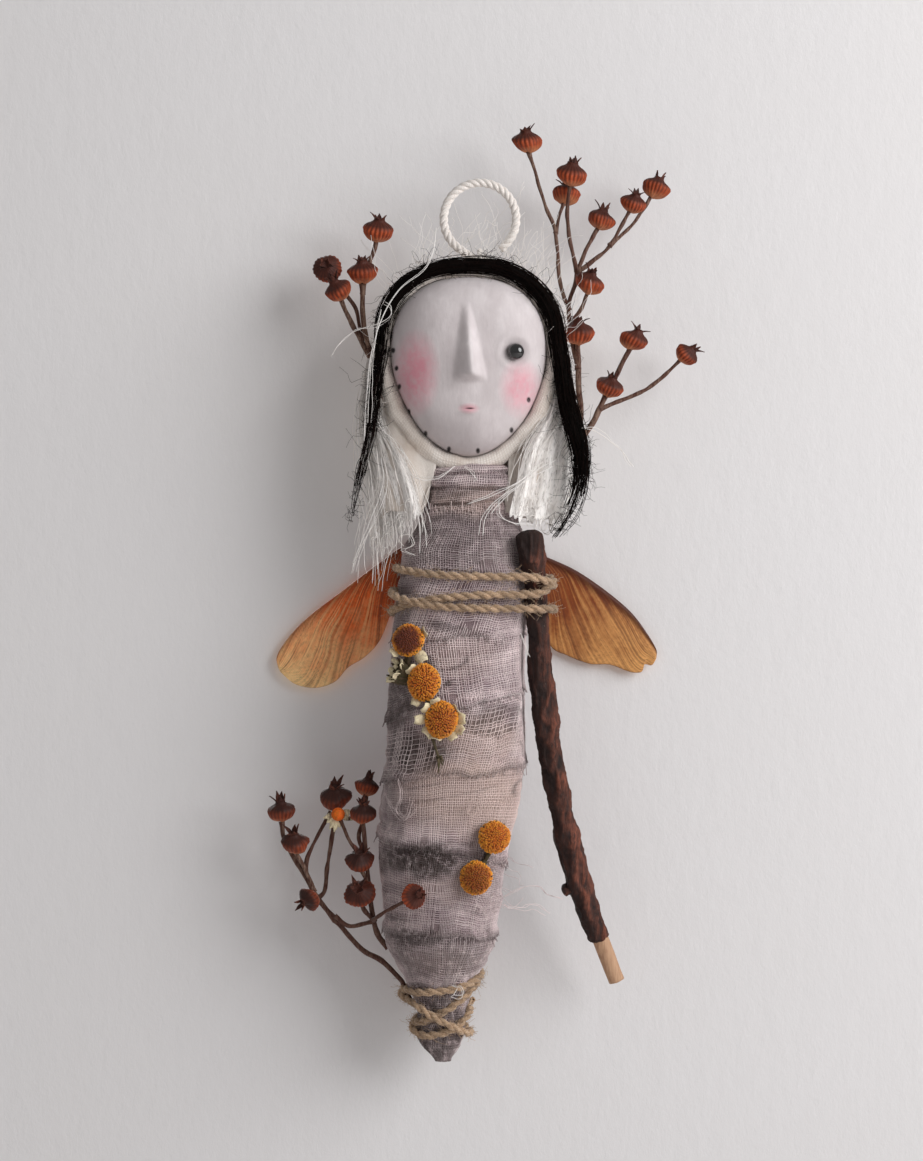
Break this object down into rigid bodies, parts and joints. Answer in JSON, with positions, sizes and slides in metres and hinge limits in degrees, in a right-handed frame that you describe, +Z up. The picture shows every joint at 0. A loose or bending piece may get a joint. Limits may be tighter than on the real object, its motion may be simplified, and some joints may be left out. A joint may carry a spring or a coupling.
{
  "type": "art doll",
  "caption": "Wall-hung art doll: gauze-wrapped body, painted clay face in a cotton hood, wool hair, seed wings, a lashed twig staff, dried seed sprigs and button flowers, hung by a loop.",
  "frame": {"origin": "top inside of the hanging loop, where the doll hangs on its peg", "axes": "+Z up along the hanging doll, -Y the way the face looks, +Y towards the wall, +X to the viewer's right"},
  "size_m": [0.0956, 0.0349, 0.206],
  "materials": {
    "mauve_gauze": "matt open weave, unevenly dyed",
    "beige_gauze": "matt open weave, stained",
    "white_gauze": "sheer, frayed",
    "cream_cotton": "matt plain weave",
    "black_wool": "loose unspun fibre",
    "stuffing": "wound wadding",
    "jute": "hairy spun string",
    "thread": "cotton thread",
    "stick_wood": "bare",
    "bark": "dry bark",
    "peeled_wood": "bare, peeled",
    "dry_stem": "dry stem and seed pod",
    "seed_wing": "veined, satin",
    "florets": "packed dry florets",
    "calyx": "dry leaf cup and stem",
    "clay": "brushed matt paint on clay",
    "bead": "polished black"
  },
  "bodies": {
    "hanger": {"hanging_loop": "thread"},
    "doll": {"core_stick": "stick_wood", "body_padding": "stuffing", "neck_wrap": "mauve_gauze", "shoulder_wrap": "mauve_gauze", "chest_wrap": "mauve_gauze", "upper_waist_wrap": "mauve_gauze", "lower_waist_wrap": "mauve_gauze", "belly_wrap": "beige_gauze", "hip_wrap": "mauve_gauze", "shin_wrap": "mauve_gauze", "tail_wrap": "mauve_gauze", "chest_twine": "jute", "ankle_twine": "jute", "head": "clay", "eye_bead": "bead", "hood": "cream_cotton", "hair_roving": "black_wool", "veil_left": "white_gauze", "veil_right": "white_gauze", "loop_stitch": "thread", "left_wing_stitch": "thread", "right_wing_stitch": "thread", "sprig_right_tall": "dry_stem", "sprig_right_low": "dry_stem", "sprig_left_high": "dry_stem", "sprig_low_outer": "dry_stem", "sprig_low_inner": "dry_stem", "tansy_upper_sprig": "calyx", "tansy_upper_button_1": "florets", "tansy_upper_button_2": "florets", "tansy_upper_button_3": "florets", "tansy_lower_sprig": "calyx", "tansy_lower_button_1": "florets", "tansy_lower_button_2": "florets"},
    "staff": {"staff_wood": "peeled_wood", "staff_bark": "bark"},
    "left_wing": {"left_wing": "seed_wing"},
    "right_wing": {"right_wing": "seed_wing"}
  },
  "joints": [
    {"name": "doll_swing", "type": "hinge", "parent": "hanger", "child": "doll", "pos_m": [0, 0, -0.01612], "axis": [0, 1, 0], "range_deg": [-15, 15]},
    {"name": "staff_rock", "type": "hinge", "parent": "doll", "child": "staff", "pos_m": [0.01218, -0.00873, -0.091], "axis": [0, 1, 0], "range_deg": [-3, 3]},
    {"name": "left_wing_turn", "type": "hinge", "parent": "doll", "child": "left_wing", "pos_m": [-0.0114, 0.0124, -0.0806], "axis": [0, 1, 0], "range_deg": [-10, 10]},
    {"name": "right_wing_turn", "type": "hinge", "parent": "doll", "child": "right_wing", "pos_m": [0.0046, 0.0124, -0.0806], "axis": [0, 1, 0], "range_deg": [-10, 10]}
  ]
}
